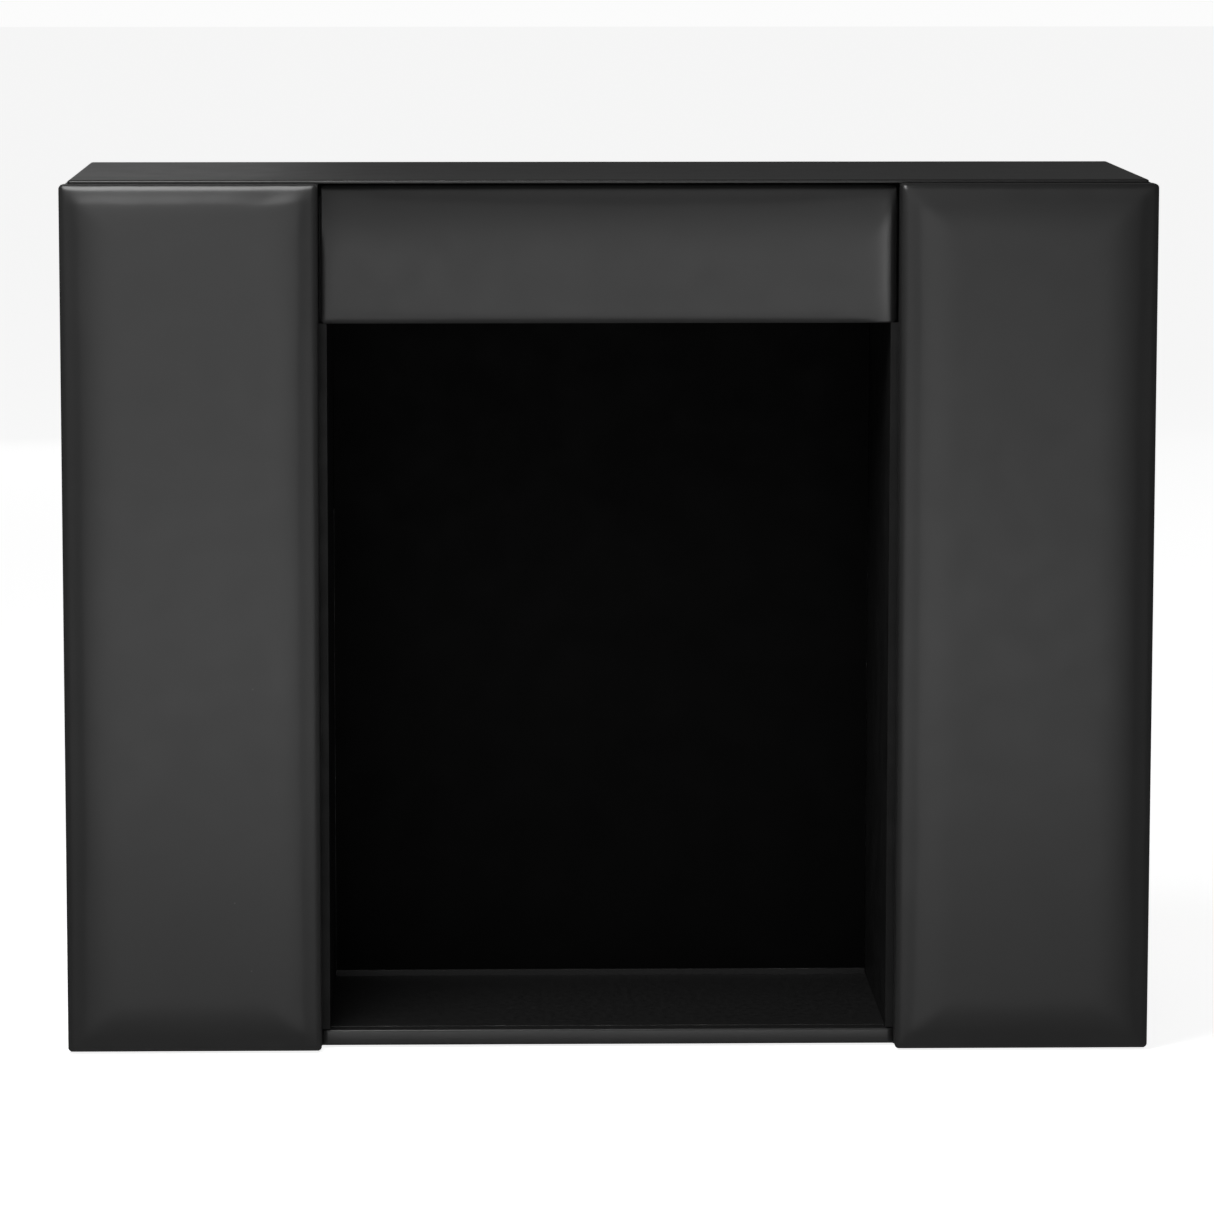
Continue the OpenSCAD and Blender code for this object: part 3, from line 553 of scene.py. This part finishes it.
def make_pads(finish):
    """The five padded pieces, blown up together. Sides are low x, high x, low z, high z."""
    pillar_sides = ((0.066, 0.0102), (0.066, 0.0102), (0.060, 0.0095), (0.060, 0.0095))
    header_sides = ((0.004, 0.0010), (0.048, 0.0052), (0.004, 0.0010), (0.085, 0.0112))
    side_sides = ((0.05, 0.0045),) * 4
    pads = []    # (piece, how full it is)
    for side, seed in (("left", 3.1), ("right", 8.7)):
        (x0, _, z0), (x1, _, z1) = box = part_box(f"{side}_front_cover")
        gather = puckers(seed, 0.0007, 0.045)
        piece = front_pad(f"{side}_pillar_cushion", box, pillar_sides,
                          lambda u, v, g=gather, w=x1 - x0, h=z1 - z0:
                          g(u, h - v) + 0.5 * g(u + 3, v) + 0.4 * g(v + 7, u) + 0.4 * g(v + 11, w - u))
        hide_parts(f"{side}_front_cover", f"{side}_front_foam")
        pads.append((piece, 0.8))
    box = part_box("header_cover")
    gather, height = puckers(5.3, 0.0006, 0.06), box[1][2] - box[0][2]
    piece = front_pad("header_cushion", box, header_sides, lambda u, v: gather(u, height - v))
    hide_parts("header_cover", "header_foam")
    pads.append((piece, 0.7))
    for side, sign in (("left", -1), ("right", 1)):
        low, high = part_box(f"{side}_side_pad")
        back = (high if sign < 0 else low)[0]
        piece = pad(f"{side}_side_cushion", (high[1] - low[1], high[2] - low[2]), 0.007, side_sides,
                    lambda u, v, h, b=back, s=sign, y=low[1], z=low[2]: (b + s * h, y + u, z + v))
        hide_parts(f"{side}_side_pad")
        pads.append((piece, 0.6))
    swell([piece for piece, _ in pads], pressure=4, cap=0.0007)
    for piece, fill in pads:
        subdivided(piece)
        piece.data.materials.append(finish["leather"])
        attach(piece, SURROUND)


# ---------- leather over boards ----------

def make_mantel(finish):
    """The leather skin of the mantel, with a rounded edge and a slight sag."""
    low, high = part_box("top_cover")
    size = (high[0] - low[0], high[1] - low[1])
    thickness = high[2] - low[2]

    def sag(u, v):
        inward = min(u, v, size[0] - u, size[1] - v, 0.02)
        return 0.00025 * noise.noise(Vector((u * 9, v * 9, 2.5))) * inward / 0.02

    piece = pad("mantel_cover", size, thickness, ((0.004, thickness * 0.38),) * 4,
                lambda u, v, h: (low[0] + u, low[1] + v, low[2] + h), corner=0.003,
                steps=((0.006, 0.001), (0.03, 0.004), (9, 0.012)), extra=sag)
    subdivided(piece)
    piece.data.materials.append(finish["leather"])
    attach(piece, SURROUND)
    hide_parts("top_cover")


def rounded_path(corners, radius, steps=4):
    """An open path through corners, each turned into an arc."""
    path = [corners[0]]
    for before, at, after in zip(corners, corners[1:], corners[2:]):
        a, b = (before - at).normalized(), (after - at).normalized()
        start, end = at + a * radius, at + b * radius
        for t in (k / steps for k in range(steps + 1)):
            path.append(start.lerp(at, t).lerp(at.lerp(end, t), t))
    return path + [corners[-1]]


def make_rail(finish):
    """The leather round the front of the bottom board: a C-shaped skin, swept along X."""
    low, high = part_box("rail_cover")
    skin, parts = 0.00095, 90

    def outline(inset, radius):
        y, z0, z1 = low[1] + inset, low[2] + inset, high[2] - inset
        corners = [Vector((high[1], z1)), Vector((y, z1)), Vector((y, z0)), Vector((high[1], z0))]
        return rounded_path(corners, radius)

    outer, inner = outline(0, 0.0032), outline(skin, 0.0022)
    ring = outer + inner[::-1]
    bm = bmesh.new()
    rows = []
    for part in range(parts + 1):
        x = low[0] + (high[0] - low[0]) * part / parts
        lift = abs(0.00012 * noise.noise(Vector((x * 14, 4.2, 0))))
        rows.append([bm.verts.new((x, y - lift * (k < len(outer)), z)) for k, (y, z) in enumerate(ring)])
    for a, b in zip(rows, rows[1:]):
        for k in range(len(ring)):
            m = (k + 1) % len(ring)
            bm.faces.new((a[k], b[k], b[m], a[m]))
    half = len(outer)
    for row in (rows[0], rows[-1]):
        for k in range(half - 1):
            bm.faces.new((row[k], row[k + 1], row[2 * half - 2 - k], row[2 * half - 1 - k]))
    bmesh.ops.recalc_face_normals(bm, faces=bm.faces)
    piece = piece_from(bm, "rail_wrap", smooth=True)
    piece.data.materials.append(finish["leather"])
    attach(piece, SURROUND)
    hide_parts("rail_cover")


def make_marks(finish):
    """Painted ticks round the two knobs and plain bars behind the rockers, on the panel's face."""
    sheet, paint, ring = 0.0015, 0.00015, 0.0148    # the panel's and the paint's thickness, the ticks' radius
    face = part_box("control_panel")[1][2] - sheet
    bm = bmesh.new()

    def plate(points):
        low = [bm.verts.new((x, y, face - paint)) for x, y in points]
        high = [bm.verts.new((x, y, face)) for x, y in points]
        bm.faces.new(low)
        bm.faces.new(high[::-1])
        for k in range(len(points)):
            m = (k + 1) % len(points)
            bm.faces.new((low[k], high[k], high[m], low[m]))

    def bar(x, y, angle, length, width):
        along = Vector((math.cos(angle), math.sin(angle)))
        side = Vector((-along.y, along.x))
        middle = Vector((x, y))
        plate([middle + along * a * length / 2 + side * b * width / 2
               for a, b in ((-1, -1), (1, -1), (1, 1), (-1, 1))])

    for knob, ticks, sweep in (("thermostat_knob", 10, 270), ("dimmer_knob", 12, 300)):
        low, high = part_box(knob)
        x, y = (low[0] + high[0]) / 2, (low[1] + high[1]) / 2
        for k in range(ticks + 1):
            angle = math.radians(270 + sweep * (k / ticks - 0.5))
            long = k in (0, ticks) or knob == "dimmer_knob" and k / ticks > 0.5
            bar(x + ring * math.cos(angle), y + ring * math.sin(angle), angle, 0.0030 if long else 0.0016, 0.0006)
    for rocker, bars in (("power_rocker", 0), ("low_heat_rocker", 1), ("high_heat_rocker", 2)):
        low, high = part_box(rocker)
        x, y = (low[0] + high[0]) / 2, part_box("switch_bodies")[1][1] + 0.0045
        for k in range(bars):
            bar(x, y + 0.0016 * (k - (bars - 1) / 2), 0, 0.006, 0.0007)
        if not bars:    # a bar in a circle
            radius, parts = 0.0024, 16
            bar(x, y, math.pi / 2, radius, 0.0006)
            for angle in (math.tau * k / parts for k in range(parts)):
                bar(x + radius * math.cos(angle), y + radius * math.sin(angle), angle + math.pi / 2, 0.001, 0.0006)
    bmesh.ops.recalc_face_normals(bm, faces=bm.faces)
    piece = piece_from(bm, "control_marks")
    piece.data.materials.append(finish["mark_paint"])
    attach(piece, SURROUND)


def make_accents():
    """The lights that leave out the header, and those for single pads, as with flags in a studio."""
    for name, place, size, radiance in (("key_light", (-0.7, -0.9, 2.1), (0.9, 1.3), 9.4),
                                        ("glow_light", (-0.8, -1.7, 1.45), (0.36, 0.8), 1.2)):
        kept_to(softbox(name, place, (-0.5, -0.2, 0.95), size, radiance), ("header_cushion",), "EXCLUDE")
    kept_to(softbox("low_light", (-0.1, -1.9, 0.16), (0, 0, 0.3), (2.4, 0.32), 1.3),
            ("left_pillar_cushion", "right_pillar_cushion", "rail_wrap"))
    for name, place, size, radiance in (("header_light", (-0.5, -7.8, 0.3), (2.6, 1.6), 0.95),
                                        ("end_light", (3.4, -6.4, 0.6), (1.8, 2.0), 9.0)):
        kept_to(softbox(name, place, (0.3, -0.2, 0.9), size, radiance), ("header_cushion",))


make_camera()
make_stage()
finishes = make_finishes()
for node in nodes.values():
    for slot in node.material_slots:
        slot.material = finishes[slot.material.name.split(".")[0]]
# painted shade: the heat shield, zinc-plated in the frame, gets black paint so that the narrow gap beside the
# header stays dark
nodes["heat_shield"].material_slots[0].material = finishes["black_steel"]
make_marks(finishes)
make_pads(finishes)
make_mantel(finishes)
make_rail(finishes)
make_accents()
